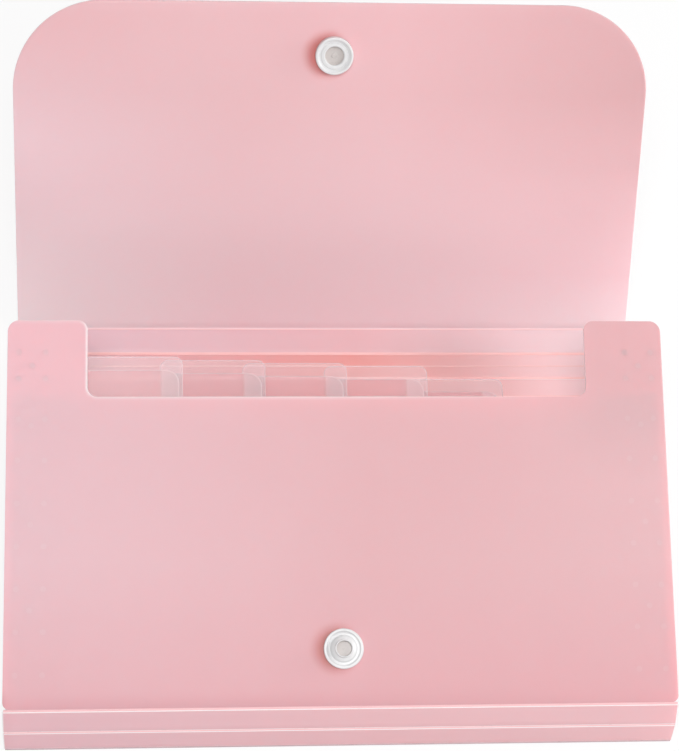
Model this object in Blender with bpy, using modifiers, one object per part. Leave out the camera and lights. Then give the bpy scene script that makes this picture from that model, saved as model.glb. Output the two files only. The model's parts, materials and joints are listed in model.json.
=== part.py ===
"""Expanding file wallet of translucent plastic sheet, lying open on its back.

One cover sheet wraps round seven pockets. From the front it runs: front panel, two bottom strips, back
panel, two spine strips, flap. Six dividers fan out between the back and front panels, each with a clear
index tab, and accordion gussets close the pockets at the left and right. A press snap holds the flap down.

Metres. +Z is up, X runs across the wallet and +Y runs from its bottom edge towards the open flap. The
origin is on the table, at the middle of the back panel's underside.

Every crease lies on the inner face of the sheet, and each piece of the cover hangs outside that line. The
dividers and the front panel swing about one line behind the bottom edge, so they stay a fan at any opening.
"""
import math

import bmesh
import bpy
import numpy as np
from mathutils import Matrix, Vector

mm = 0.001

# Sheets
wallet_width = 185 * mm
cover_thickness = 0.6 * mm
divider_thickness = 0.3 * mm
tab_thickness = 0.25 * mm
gusset_thickness = 0.2 * mm
crease_gap = 0.15 * mm
# The crease under the front panel is the open one of the cover's loop, so its strip stands further back
open_crease_gap = 0.75 * mm
seat_gap = 0.15 * mm
facets_per_corner = 8

# Lengths along the cover, crease to crease
back_length = 110.9 * mm
bottom_lower_length = 7.4 * mm
bottom_upper_length = 6.95 * mm
spine_lower_length = 8.1 * mm
spine_upper_length = 8.1 * mm
flap_past_snap = 15.2 * mm
flap_corner_radius = 26.5 * mm
flap_side_inset = 0.3 * mm
front_bottom_corner_radius = 2 * mm

# The finger notch between the two ears of the front panel
ear_width = 22.2 * mm
notch_depth = 21.8 * mm
ear_outer_radius = 3.2 * mm
ear_inner_radius = 2.8 * mm
notch_corner_radius = 2.9 * mm

# Closed, the ears stay this far inside the standing spine strip, and the flap lies this far off the panel
ear_clearance = 0.37 * mm
flap_clearance = 0.35 * mm
flap_lift = math.radians(2)

# The closed stack, measured up from the inner face of the back panel and along from the bottom crease
pocket_gap = 0.65 * mm
front_pocket_gap = 1.3 * mm
front_start = 4.5 * mm

# The fan of the open wallet
divider_count = 6
pocket_count = divider_count + 1
fan_pivot_back = 15.9 * mm
fan_pivot_height = 19.4 * mm
fan_angle = math.radians(14.2)
# How the fan's angle is shared by the pockets, from the back pocket to the front one
fan_shares = (0.105, 0.365, 0.292, 0.057, 0.064, 0.081, 0.036)

# Rest angles of the open cover above the table
spine_lower_angle = 0
spine_upper_angle = math.radians(6)
flap_angle = math.radians(46.5)

# Dividers, in closed positions along Y
divider_start = 6.2 * mm
divider_below_notch = 1.9 * mm
divider_side_inset = 1.2 * mm
divider_corner_radius = 3 * mm
tab_width = 29.8 * mm
tab_height = 17.9 * mm
tab_beside_gusset = 0.4 * mm
tab_root = 4 * mm
tab_corner_radius = 2.4 * mm
ledge_side_inset = 1 * mm
ledge_top_inset = 3.7 * mm
ledge_corner_radius = 3.8 * mm
ledge_foot_radius = 2.2 * mm

# Gussets
gusset_depth = 16.6 * mm
gusset_side_inset = 2 * mm
gusset_fold_gap = 0.22 * mm
gusset_face_gap = 0.12 * mm
gusset_start = 7 * mm
gusset_past_divider = 2.8 * mm

# Press snap
snap_radius = 5.5 * mm
snap_rim = 0.7 * mm
front_snap_from_crease = 15.6 * mm
snap_hole_radius = 2.3 * mm
snap_post_radius = 1.9 * mm
snap_cap_height = 0.6 * mm
snap_cap_dome = 0.15 * mm
stud_base_height = 0.9 * mm
stud_step_radius = 3.4 * mm
stud_step_height = 1.15 * mm
stud_knob_radius = 2.4 * mm
stud_knob_height = 2.6 * mm
stud_dish_radius = 1.9 * mm
stud_dish_floor = 1.3 * mm
socket_height = 2 * mm
socket_mouth_radius = 2.7 * mm
socket_floor = 0.5 * mm
socket_groove_radius = 4.3 * mm
socket_groove_width = 0.3 * mm
socket_groove_depth = 0.2 * mm
post_bore_clearance = 0.15 * mm
snap_turn_steps = 32
cut_overrun = 2 * mm

# Colours as linear red, green and blue
pink_cover = (0.83, 0.50, 0.53, 1)
pink_divider = (0.80, 0.44, 0.47, 1)
clear_tab = (0.90, 0.82, 0.83, 1)
pink_gusset = (0.88, 0.60, 0.62, 1)
snap_white = (0.88, 0.87, 0.86, 1)


def clear_scene():
    for item in list(bpy.data.objects):
        bpy.data.objects.remove(item, do_unlink=True)


def new_collection(name):
    collection = bpy.data.collections.new(name)
    bpy.context.scene.collection.children.link(collection)
    return collection


clear_scene()
parts = new_collection("expanding_file_folder")
cutters = new_collection("cutters")


def material(name, colour, roughness, alpha=1.0):
    made = bpy.data.materials.new(name)
    made.use_nodes = True
    shader = made.node_tree.nodes["Principled BSDF"]
    shader.inputs["Base Color"].default_value = colour
    shader.inputs["Roughness"].default_value = roughness
    shader.inputs["Metallic"].default_value = 0.0
    shader.inputs["Alpha"].default_value = alpha
    return made


def place(mesh, name, location, angle, colour, roughness, alpha=1.0, collection=parts):
    """An object of this mesh, turned about X so that its +Y rises from the table by the angle."""
    made = bpy.data.objects.new(name, mesh)
    made.location = location
    made.rotation_euler = (angle, 0, 0)
    mesh.materials.clear()
    mesh.materials.append(material(name, colour, roughness, alpha))
    collection.objects.link(made)
    return made


def rounded_outline(corners):
    """Points of a closed outline whose corners (x, y, radius) are rounded by arcs."""
    points = []
    for index, (x, y, radius) in enumerate(corners):
        here = Vector((x, y))
        before = Vector(corners[index - 1][:2])
        after = Vector(corners[(index + 1) % len(corners)][:2])
        if radius == 0:
            points.append(here)
            continue
        to_before = (before - here).normalized()
        to_after = (after - here).normalized()
        half = to_before.angle(to_after) / 2
        middle = here + (to_before + to_after).normalized() * (radius / math.sin(half))
        first = here + to_before * (radius / math.tan(half)) - middle
        sweep = first.angle_signed(here + to_after * (radius / math.tan(half)) - middle)
        for step in range(facets_per_corner + 1):
            turned = first.copy()
            turned.rotate(Matrix.Rotation(-sweep * step / facets_per_corner, 2))
            points.append(middle + turned)
    return points


def sheet_mesh(name, corners, thickness, low):
    """A flat sheet with this outline in its own XY plane, from the height low up by its thickness."""
    curve = bpy.data.curves.new(name + "_outline", "CURVE")
    curve.dimensions = "2D"
    curve.fill_mode = "BOTH"
    curve.extrude = thickness / 2
    points = rounded_outline(corners)
    spline = curve.splines.new("POLY")
    spline.points.add(len(points) - 1)
    for point, place_2d in zip(spline.points, points):
        point.co = (place_2d.x, place_2d.y, 0, 1)
    spline.use_cyclic_u = True
    guide = bpy.data.objects.new(name + "_outline", curve)
    cutters.objects.link(guide)
    bpy.context.view_layer.update()
    mesh = bpy.data.meshes.new_from_object(guide.evaluated_get(bpy.context.evaluated_depsgraph_get()))
    bpy.data.objects.remove(guide, do_unlink=True)
    mesh.name = name
    weld = bmesh.new()
    weld.from_mesh(mesh)
    bmesh.ops.remove_doubles(weld, verts=weld.verts, dist=crease_gap / 20)
    bmesh.ops.translate(weld, verts=weld.verts, vec=(0, 0, low + thickness / 2))
    bmesh.ops.recalc_face_normals(weld, faces=weld.faces)
    weld.to_mesh(mesh)
    weld.free()
    return mesh


def panel_corners(width, start, end, start_radius=0, end_radius=0):
    half = width / 2
    return [(-half, start, start_radius), (half, start, start_radius), (half, end, end_radius), (-half, end, end_radius)]


def bore(target, radius, along_y, height):
    """A round hole through a sheet for the post of a snap."""
    mesh = bpy.data.meshes.new(target.name + "_bore")
    drill = bmesh.new()
    bmesh.ops.create_cone(
        drill, cap_ends=True, segments=snap_turn_steps, radius1=radius, radius2=radius, depth=cut_overrun * 2
    )
    drill.to_mesh(mesh)
    drill.free()
    cutter = bpy.data.objects.new(target.name + "_bore", mesh)
    cutter.matrix_world = target.matrix_basis @ Matrix.Translation((0, along_y, height))
    cutter.display_type = "WIRE"
    cutter.hide_render = True
    cutters.objects.link(cutter)
    cut = target.modifiers.new("post hole", "BOOLEAN")
    cut.operation = "DIFFERENCE"
    cut.solver = "EXACT"
    cut.object = cutter


def turned_mesh(name, profile, axis_place, up):
    """A solid turned from a profile of (radius, height) about the snap's axis. Up is 1 or -1 along local Z."""
    mesh = bpy.data.meshes.new(name)
    turn = bmesh.new()
    ring = [turn.verts.new((radius, 0, height)) for radius, height in profile]
    edges = [turn.edges.new((ring[i], ring[i + 1])) for i in range(len(ring) - 1)]
    bmesh.ops.spin(
        turn, geom=ring + edges, cent=(0, 0, 0), axis=(0, 0, 1), angle=2 * math.pi, steps=snap_turn_steps,
        use_merge=True,
    )
    bmesh.ops.remove_doubles(turn, verts=turn.verts, dist=crease_gap / 20)
    bmesh.ops.scale(turn, vec=(1, 1, up), verts=turn.verts)
    bmesh.ops.translate(turn, vec=(0, axis_place, 0), verts=turn.verts)
    bmesh.ops.recalc_face_normals(turn, faces=turn.faces)
    turn.to_mesh(mesh)
    turn.free()
    mesh.shade_smooth()
    mesh.set_sharp_from_angle(angle=math.radians(40))
    return mesh


def turn_about_pivot(y, z, angle):
    """Where a point of the closed stack goes when it swings about the fan's pivot."""
    away = Vector((y, z)) - fan_pivot
    cosine, sine = math.cos(angle), math.sin(angle)
    return fan_pivot + Vector((away.x * cosine - away.y * sine, away.x * sine + away.y * cosine))


def two_strips(start, end, first_length, second_length):
    """Angles of two strips, hinged end to end, that reach from start to end and bulge outwards."""
    reach = end - start
    span = min(reach.length, (first_length + second_length) * (1 - 1e-9))
    cosine = (first_length**2 + span**2 - second_length**2) / (2 * first_length * span)
    first = math.atan2(reach.y, reach.x) + math.acos(max(-1, min(1, cosine)))
    knee = start + Vector((math.cos(first), math.sin(first))) * first_length
    last = end - knee
    return first, math.atan2(last.y, last.x), knee


# The side view. Heights start at the table, and the back panel's inner face is one sheet above it.
floor_height = cover_thickness
bottom_crease = Vector((-back_length / 2, floor_height))
fan_pivot = bottom_crease + Vector((-fan_pivot_back, fan_pivot_height))
# Closed heights of each divider's lower face, from the front one to the back one
divider_height = {
    number: floor_height
    + pocket_gap * (divider_count - number + 1)
    + divider_thickness * (divider_count - number)
    for number in range(1, divider_count + 1)
}
front_height = divider_height[1] + divider_thickness + front_pocket_gap

# Lengths that the closed wallet sets: the lower spine strip stands up to the outside of the front panel, the
# ears reach just short of it, and the upper strip and the flap lie along the panel until the snap meets
closed_spine_rise = front_height + cover_thickness + flap_clearance - floor_height
closed_spine_angle = math.asin(min(1, closed_spine_rise / spine_lower_length))
spine_at_ears = back_length + (front_height - floor_height) / math.tan(closed_spine_angle)
front_length = spine_at_ears - ear_clearance - front_start
closed_spine_end = back_length + spine_lower_length * math.cos(closed_spine_angle)
closed_snap_reach = closed_spine_end - front_start - front_snap_from_crease
flap_snap_from_crease = closed_snap_reach / math.cos(flap_lift) - spine_upper_length
flap_length = flap_snap_from_crease + flap_past_snap
divider_body_length = front_start + front_length - notch_depth - divider_below_notch - divider_start
tab_side_margin = gusset_side_inset + gusset_depth + tab_beside_gusset
tab_pitch = (wallet_width - 2 * tab_side_margin - tab_width) / (divider_count - 1)
gusset_length = divider_start + divider_body_length + gusset_past_divider - gusset_start

swing = {}
total = 0
for number in range(divider_count, 0, -1):
    total += fan_shares[divider_count - number]
    swing[number] = fan_angle * total
front_swing = fan_angle * sum(fan_shares)

front_crease = turn_about_pivot(bottom_crease.x + front_start, front_height, front_swing)
bottom_lower_angle, bottom_upper_angle, bottom_knee = two_strips(
    bottom_crease, front_crease, bottom_lower_length, bottom_upper_length
)


def at(point):
    return (0, point.x, point.y)


def along(start, angle, length):
    return start + Vector((math.cos(angle), math.sin(angle))) * length


# Cover. Local Z is 0 on the inner face of each piece, which hangs outside it.
spine_start = bottom_crease + Vector((back_length, 0))
spine_middle = along(spine_start, spine_lower_angle, spine_lower_length)
flap_start = along(spine_middle, spine_upper_angle, spine_upper_length)


def cover_piece(name, corners, start, angle, inner_side_up):
    low = -cover_thickness if inner_side_up else 0
    mesh = sheet_mesh(name, corners, cover_thickness, low)
    return place(mesh, name, at(start), angle, pink_cover, 0.45)


back_panel = cover_piece(
    "back_panel", panel_corners(wallet_width, crease_gap, back_length - crease_gap), bottom_crease, 0, True
)
bottom_strip_lower = cover_piece(
    "bottom_strip_lower",
    panel_corners(wallet_width, crease_gap, bottom_lower_length - crease_gap),
    bottom_crease,
    bottom_lower_angle,
    False,
)
bottom_strip_upper = cover_piece(
    "bottom_strip_upper",
    panel_corners(wallet_width, crease_gap, bottom_upper_length - open_crease_gap),
    bottom_knee,
    bottom_upper_angle,
    False,
)
flap_width = wallet_width - 2 * flap_side_inset
spine_strip_lower = cover_piece(
    "spine_strip_lower",
    panel_corners(flap_width, crease_gap, spine_lower_length - crease_gap),
    spine_start,
    spine_lower_angle,
    True,
)
spine_strip_upper = cover_piece(
    "spine_strip_upper",
    panel_corners(flap_width, crease_gap, spine_upper_length - crease_gap),
    spine_middle,
    spine_upper_angle,
    True,
)
flap = cover_piece(
    "flap",
    panel_corners(flap_width, crease_gap, flap_length, 0, flap_corner_radius),
    flap_start,
    flap_angle,
    True,
)

# The front panel's own places are those of the closed stack, counted from the fan's pivot.
front_low = front_height - fan_pivot.y
front_first = fan_pivot_back + front_start + crease_gap
front_last = fan_pivot_back + front_start + front_length
half_width = wallet_width / 2
front_outline = [
    (-half_width, front_first, front_bottom_corner_radius),
    (half_width, front_first, front_bottom_corner_radius),
    (half_width, front_last, ear_outer_radius),
    (half_width - ear_width, front_last, ear_inner_radius),
    (half_width - ear_width, front_last - notch_depth, notch_corner_radius),
    (ear_width - half_width, front_last - notch_depth, notch_corner_radius),
    (ear_width - half_width, front_last, ear_inner_radius),
    (-half_width, front_last, ear_outer_radius),
]
front_panel = place(
    sheet_mesh("front_panel", front_outline, cover_thickness, front_low),
    "front_panel",
    at(fan_pivot),
    front_swing,
    pink_cover,
    0.45,
)

# Dividers, each with a ledge under its index tab, stepped from left to right and from front to back
divider_first = fan_pivot_back + divider_start
divider_last = divider_first + divider_body_length
divider_half = wallet_width / 2 - divider_side_inset
tab_low_end = divider_last - tab_root
tab_high_end = tab_low_end + tab_height
for number in range(1, divider_count + 1):
    middle = tab_pitch * (number - (divider_count + 1) / 2)
    low = divider_height[number] - fan_pivot.y
    ledge_left = middle - tab_width / 2 + ledge_side_inset
    ledge_right = middle + tab_width / 2 - ledge_side_inset
    ledge_top = tab_high_end - ledge_top_inset
    outline = [
        (-divider_half, divider_first, 0),
        (divider_half, divider_first, 0),
        (divider_half, divider_last, divider_corner_radius),
        (ledge_right, divider_last, ledge_foot_radius),
        (ledge_right, ledge_top, ledge_corner_radius),
        (ledge_left, ledge_top, ledge_corner_radius),
        (ledge_left, divider_last, ledge_foot_radius),
        (-divider_half, divider_last, divider_corner_radius),
    ]
    name = f"divider_{number}"
    place(
        sheet_mesh(name, outline, divider_thickness, low), name, at(fan_pivot), swing[number], pink_divider, 0.4
    )
    tab_outline = [
        (middle - tab_width / 2, tab_low_end, 0),
        (middle + tab_width / 2, tab_low_end, 0),
        (middle + tab_width / 2, tab_high_end, tab_corner_radius),
        (middle - tab_width / 2, tab_high_end, tab_corner_radius),
    ]
    name = f"index_tab_{number}"
    tab_low = low + divider_thickness + seat_gap
    place(
        sheet_mesh(name, tab_outline, tab_thickness, tab_low),
        name,
        at(fan_pivot),
        swing[number],
        clear_tab,
        0.15,
        0.35,
    )

# Gussets: one pleat a pocket on each side, folded inwards between the sheets
gusset_outer = wallet_width / 2 - gusset_side_inset
for pocket in range(1, pocket_count + 1):
    if pocket == 1:
        upper_height, upper_swing = front_height, front_swing
    else:
        upper_height, upper_swing = divider_height[pocket - 1], swing[pocket - 1]
    if pocket == pocket_count:
        lower_height, lower_swing = floor_height, 0
    else:
        lower_height, lower_swing = divider_height[pocket] + divider_thickness, swing[pocket]
    for side, sign in (("left", -1), ("right", 1)):
        name = f"gusset_{side}_{pocket}"
        mesh = bpy.data.meshes.new(name)
        pleat = bmesh.new()
        bmesh.ops.create_grid(pleat, x_segments=3, y_segments=1, size=1)
        columns = sorted({round(vert.co.x, 4) for vert in pleat.verts})
        for vert in pleat.verts:
            column = columns.index(round(vert.co.x, 4))
            far = bottom_crease.x + gusset_start + (gusset_length if vert.co.y > 0 else 0)
            low_face = turn_about_pivot(far, lower_height, lower_swing)
            high_face = turn_about_pivot(far, upper_height, upper_swing)
            rise = high_face - low_face
            reach = rise.normalized()
            margin = gusset_face_gap + gusset_thickness / 2
            middle = (low_face + high_face) / 2
            spot = (
                low_face + reach * margin,
                middle - reach * gusset_fold_gap / 2,
                middle + reach * gusset_fold_gap / 2,
                high_face - reach * margin,
            )[column]
            across = gusset_outer - (gusset_depth if column in (1, 2) else 0)
            vert.co = (sign * across, spot.x, spot.y)
        if sign < 0:
            bmesh.ops.reverse_faces(pleat, faces=pleat.faces)
        pleat.to_mesh(mesh)
        pleat.free()
        made = place(mesh, name, (0, 0, 0), 0, pink_gusset, 0.4)
        shell = made.modifiers.new("sheet", "SOLIDIFY")
        shell.thickness = gusset_thickness
        shell.offset = 0

# Press snap: a socket inside the flap and a stud outside the front panel, each riveted through its sheet
# to a thin cap on the other face
post_reach = cover_thickness + seat_gap * 2


def socket_profile():
    """From the axis: the mouth's floor, its wall, the flat ring with its groove, the rim and the underside."""
    bottom = seat_gap
    groove_in, groove_out = socket_groove_radius - socket_groove_width, socket_groove_radius + socket_groove_width
    return [
        (0, bottom + socket_floor),
        (socket_mouth_radius, bottom + socket_floor),
        (socket_mouth_radius, bottom + socket_height - socket_groove_depth),
        (socket_mouth_radius + socket_groove_depth, bottom + socket_height),
        (groove_in, bottom + socket_height),
        (socket_groove_radius, bottom + socket_height - socket_groove_depth),
        (groove_out, bottom + socket_height),
        (snap_radius - snap_rim / 2, bottom + socket_height),
        (snap_radius, bottom + socket_height - snap_rim / 2),
        (snap_radius, bottom),
        (0, bottom),
    ]


def stud_profile():
    """From the axis: the dish in the knob, the knob, the step, the base with its rim and the underside."""
    bottom = seat_gap
    return [
        (0, bottom + stud_dish_floor),
        (stud_dish_radius, bottom + stud_dish_floor),
        (stud_dish_radius, bottom + stud_knob_height),
        (stud_knob_radius, bottom + stud_knob_height),
        (stud_knob_radius, bottom + stud_step_height),
        (stud_step_radius, bottom + stud_step_height),
        (stud_step_radius, bottom + stud_base_height - snap_rim / 2),
        (snap_radius - snap_rim * 1.5, bottom + stud_base_height - snap_rim / 2),
        (snap_radius - snap_rim, bottom + stud_base_height),
        (snap_radius - snap_rim / 2, bottom + stud_base_height),
        (snap_radius, bottom + stud_base_height - snap_rim / 2),
        (snap_radius, bottom),
        (0, bottom),
    ]


def cap_profile():
    """From the tip of the post, through the sheet, to the low dome of the cap. Heights run outwards."""
    tip = -(cover_thickness + seat_gap) + seat_gap / 2
    return [
        (0, tip),
        (snap_post_radius, tip),
        (snap_post_radius, seat_gap),
        (snap_radius, seat_gap),
        (snap_radius, seat_gap + snap_cap_height - snap_cap_dome),
        (snap_radius - snap_rim / 2, seat_gap + snap_cap_height - snap_cap_dome / 2),
        (snap_radius / 2, seat_gap + snap_cap_height),
        (0, seat_gap + snap_cap_height),
    ]


bore(flap, snap_hole_radius, flap_snap_from_crease, 0)
front_snap_place = fan_pivot_back + front_start + front_snap_from_crease
bore(front_panel, snap_hole_radius, front_snap_place, front_low)
front_top = front_low + cover_thickness


def raised(mesh, height):
    for vert in mesh.vertices:
        vert.co.z += height
    return mesh


place(
    turned_mesh("flap_snap_socket", socket_profile(), flap_snap_from_crease, 1),
    "flap_snap_socket", at(flap_start), flap_angle, snap_white, 0.25,
)
place(
    raised(turned_mesh("flap_snap_cap", cap_profile(), flap_snap_from_crease, -1), -cover_thickness),
    "flap_snap_cap", at(flap_start), flap_angle, snap_white, 0.25,
)
place(
    raised(turned_mesh("front_snap_stud", stud_profile(), front_snap_place, 1), front_top),
    "front_snap_stud", at(fan_pivot), front_swing, snap_white, 0.25,
)
place(
    raised(turned_mesh("front_snap_cap", cap_profile(), front_snap_place, -1), front_low),
    "front_snap_cap", at(fan_pivot), front_swing, snap_white, 0.25,
)
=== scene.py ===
"""Looks of an expanding file wallet of frosted pink plastic, lying open on its back with its flap raised.

Each sheet is a flat cut shape, worked out as a grid of points between its two long edges, laid at its
own angle and given its thickness by Solidify. Metres, +Z up, X across the wallet and +Y towards the flap.
"""

import json
import math

import bpy
import numpy as np
from bpy.props import FloatProperty, FloatVectorProperty, IntProperty, PointerProperty
from bpy.types import Operator, Panel, PropertyGroup
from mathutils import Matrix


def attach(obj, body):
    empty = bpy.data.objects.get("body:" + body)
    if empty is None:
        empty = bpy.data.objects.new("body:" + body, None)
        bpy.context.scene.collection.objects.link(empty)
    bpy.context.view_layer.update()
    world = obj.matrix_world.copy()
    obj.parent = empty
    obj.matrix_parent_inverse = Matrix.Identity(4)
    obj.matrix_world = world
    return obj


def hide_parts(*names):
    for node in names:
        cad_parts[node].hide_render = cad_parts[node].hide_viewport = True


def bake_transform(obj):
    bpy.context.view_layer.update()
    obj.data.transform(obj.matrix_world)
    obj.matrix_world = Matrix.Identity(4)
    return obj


bl_info = {
    "name": "Expanding File Wallet",
    "version": (1, 0, 0),
    "blender": (4, 5, 0),
    "location": "3D View > Sidebar > Wallet",
    "description": "Makes the sheets, pleats, tabs and snap of an expanding file wallet",
    "category": "Object",
}

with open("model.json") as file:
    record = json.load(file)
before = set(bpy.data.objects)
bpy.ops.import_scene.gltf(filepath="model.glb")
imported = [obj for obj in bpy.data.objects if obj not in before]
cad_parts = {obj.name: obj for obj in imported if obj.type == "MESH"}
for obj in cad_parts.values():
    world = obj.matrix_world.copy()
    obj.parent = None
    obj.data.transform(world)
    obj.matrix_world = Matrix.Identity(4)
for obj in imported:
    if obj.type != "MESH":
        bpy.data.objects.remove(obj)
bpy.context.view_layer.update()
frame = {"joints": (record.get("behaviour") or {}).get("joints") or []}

mm = 0.001
joints = {joint["name"]: joint for joint in frame["joints"]}


def axis_of(joint):
    """Where a fold's axis stands in the side view, as (y, z)."""
    return np.array(joints[joint]["pos_m"][1:])


# The creases and the line that the pockets fan about, in the side view
bottom_crease = axis_of("bottom_lower_fold")
bottom_knee = axis_of("bottom_upper_fold")
spine_crease = axis_of("spine_lower_fold")
spine_middle = axis_of("spine_upper_fold")
flap_crease = axis_of("flap_fold")
fan_axis = axis_of("pocket_1_opening")

divider_count = 6
pocket_count = divider_count + 1
leaves = ["back"] + [f"divider_{number}" for number in range(divider_count, 0, -1)] + ["front"]


def swings():
    """How far each leaf stands open from the back panel: the pockets' openings added up from the back."""
    closed = [joints[f"pocket_{pocket}_opening"]["range_deg"][0] for pocket in range(pocket_count, 0, -1)]
    return dict(zip(leaves, [0.0, *np.cumsum([-math.radians(angle) for angle in closed])]))


swing = swings()

# What glues or rivets on to a sheet stands this far off it
seat_gap = 0.15 * mm

# How far a tab reaches down over its divider, and how far its ledge stays inside its sides and its top
tab_root = 4 * mm
ledge_side_inset = 1 * mm
ledge_top_inset = 3.7 * mm

# Painted shadow of the snap: a soft darker, redder spot on the sheet round it that reaches further on the
# left
shadow_core = 3.4 * mm
shadow_reach = 8.2 * mm
shadow_shift = 2 * mm


def colour(name, description, default):
    return FloatVectorProperty(
        name=name, description=description, default=default, subtype="COLOR", size=3, min=0, max=1
    )


def length(name, description, default):
    return FloatProperty(name=name, description=description, default=default, unit="LENGTH", precision=4)


def slope(name, description, default):
    return FloatProperty(name=name, description=description, default=default, subtype="ANGLE")


def strength(name, description, default):
    return FloatProperty(name=name, description=description, default=default, min=0)


class WalletSheets(PropertyGroup):
    width: length("Width", "Width of the cover across the wallet", 185 * mm)
    thickness: length("Cover thickness", "Thickness of the cover sheet", 0.6 * mm)
    crease_gap: length("Crease gap", "How far each panel stops short of its crease", 0.15 * mm)
    flap_length: length("Flap length", "From the flap's crease to its free edge", 99.515 * mm)
    flap_corner: length("Flap corner", "Radius of the flap's two free corners", 26.5 * mm)
    flap_inset: length("Flap inset", "How much narrower the flap is on each side", 0.3 * mm)
    flap_rise: slope("Flap rise", "How steeply the flap stands", math.radians(46.5))
    spine_rise: slope("Spine rise", "How steeply the upper spine strip stands", math.radians(6))
    front_start: length("Front start", "Closed place of the front panel's crease", 4.5 * mm)
    front_length: length("Front length", "From the front panel's crease to the tips of its ears", 107.4 * mm)
    front_height: length("Front height", "Closed height of the front panel's inner face", 7.6 * mm)
    ear_width: length("Ear width", "Width of each ear beside the finger notch", 22.2 * mm)
    notch_depth: length("Notch depth", "Depth of the finger notch between the ears", 21.8 * mm)
    bow: length("Bow", "How far the free edges of the flap and front panel curl", 0.25 * mm)


class WalletLeaves(PropertyGroup):
    thickness: length("Divider thickness", "Thickness of a divider", 0.3 * mm)
    pocket_gap: length("Pocket gap", "Closed gap between two dividers", 0.65 * mm)
    start: length("Divider start", "Closed place of the dividers' bottom edge", 6.2 * mm)
    body_length: length("Divider length", "Length of a divider without its ledge", 82.0 * mm)
    side_inset: length("Side inset", "How much narrower a divider is on each side", 1.2 * mm)
    tab_width: length("Tab width", "Width of a clear index tab", 29.8 * mm)
    tab_height: length("Tab height", "Height of a clear index tab", 17.9 * mm)
    tab_pitch: length("Tab pitch", "Step from one index tab to the next", 23.44 * mm)
    tab_thickness: length("Tab thickness", "Thickness of a clear index tab", 0.25 * mm)
    pleat_depth: length("Pleat depth", "How far a pleat folds inwards", 16.6 * mm)
    pleat_thickness: length("Pleat thickness", "Thickness of the pleated film", 0.2 * mm)


class WalletSnap(PropertyGroup):
    radius: length("Snap radius", "Radius of the press snap's two halves", 5.5 * mm)
    front_place: length("Snap on the front", "From the front panel's crease to its snap", 15.6 * mm)
    flap_place: length("Snap on the flap", "From the flap's crease to its snap", 84.315 * mm)
    steps: IntProperty(name="Turned steps", description="Steps round a piece", default=96, min=24, max=256)


class WalletColours(PropertyGroup):
    cover: colour("Cover", "Frosted pink sheet of the cover", (0.87, 0.46, 0.49))
    cover_flap: colour("Flap", "The flap's free end", (0.82, 0.495, 0.52))
    # Painted light and shade on the flap: paler and cooler at its left, deeper at its right, paler at its
    # crease
    flap_left: colour("Flap, left side", "The flap's cooler tint at its left", (0.87, 0.60, 0.64))
    flap_right: colour("Flap, right side", "The flap's deeper tint at its right", (0.65, 0.405, 0.42))
    flap_foot: colour("Flap, foot", "The flap's paler tint at its crease", (1.0, 0.64, 0.68))
    # The front's colour, darker than the cover's, is painted shade; its foot and right-ear tints are painted
    # shade too
    cover_front: colour("Front", "The front panel", (0.79, 0.42, 0.445))
    front_foot: colour("Front, foot", "The front's redder tint near its crease", (0.79, 0.36, 0.395))
    front_ear: colour("Front, right ear", "The front's deeper tint on its right ear", (0.69, 0.42, 0.44))
    # Painted light on the upper spine strip: paler at both sides
    spine_left: colour("Spine, left side", "The spine's paler tint at its left", (0.90, 0.58, 0.64))
    spine_right: colour("Spine, right side", "The spine's paler tint at its right", (0.93, 0.66, 0.69))
    # Painted light: the cover is paler and cooler towards its left side
    cover_side: colour("Cover, left side", "The cover's cooler, paler tint at its left", (0.87, 0.505, 0.55))
    # Painted shade and light inside the fold: deeper and warmer where it lies in shade, paler towards the
    # right
    cover_inside: colour("Inside the fold", "Warm tint between spine and pockets", (0.90, 0.355, 0.335))
    inside_right: colour("Inside, right side", "The fold's paler tint at its right", (1.0, 0.68, 0.71))
    cover_edge: colour("Cover edge", "Cut edges of the cover, where light gathers", (0.97, 0.85, 0.86))
    crease: colour("Crease", "Creases and scored lines, whitened by folding", (0.95, 0.56, 0.58))
    crease_inside: colour("Crease inside", "Creases between spine and pockets", (1.0, 0.58, 0.57))
    crease_shaded: colour("Shaded crease", "The crease that lies on the table", (0.55, 0.36, 0.39))
    divider: colour("Divider", "Thinner pink sheet of the dividers", (0.80, 0.35, 0.37))
    # Painted light: the ledge is brighter and redder than the divider, for light the clear tabs pass on to it
    ledge: colour("Ledge", "Ledges that carry the tabs", (1.0, 0.40, 0.42))
    tab: colour("Index tab", "Clear film of the index tabs", (0.78, 0.67, 0.73))
    # Painted highlight along the clear tabs' cut edges
    tab_rim: colour("Tab rim", "Cut edges of the index tabs", (0.98, 0.82, 0.84))
    pleat: colour("Pleat", "Pale film of the pleats", (1.0, 0.76, 0.78))
    snap: colour("Snap", "White moulded snap", (0.76, 0.755, 0.76))
    # Painted shadow beside each snap: the sheet turns darker and redder there
    shadowed: colour("Pressed sheet", "Where the sheet is pressed beside the snap", (0.64, 0.22, 0.205))
    # Painted shade inside the snap's socket mouth and in the stud's dish
    snap_recess: colour("Snap recess", "Duller inside of the snap, with its post", (0.60, 0.55, 0.53))
    floor: colour("Floor", "Pale floor that the wallet lies on", (0.95, 0.95, 0.95))


# Surfaces

# Points that lie closer than this are one point
weld_distance = 0.002 * mm
# The rounding of a cut edge, as a share of its sheet's thickness
cut_edge_share = 0.44
# How far a crease's bead stands out, as a share of its outer radius, and how flat its inner side is pressed
bead_outer_share = 0.98
bead_inner_share = 0.4


def corner_drop(distance, radius):
    """How far a rounded corner lies inside its square one, r - sqrt(r^2 - (r - d)^2), d from the side."""
    away = radius - np.clip(distance, 0, radius)
    return radius - np.sqrt(np.maximum(radius**2 - away**2, 0))


def from_corner(from_side, from_end, radius):
    """How far inside a rounded corner a point lies, r - |(r - dx, r - dy)|, from dx and dy to its edges."""
    inside = radius - np.stack((from_side, from_end))
    return radius - np.linalg.norm(np.maximum(inside, 0), axis=0) - np.minimum(inside.max(axis=0), 0)


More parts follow.
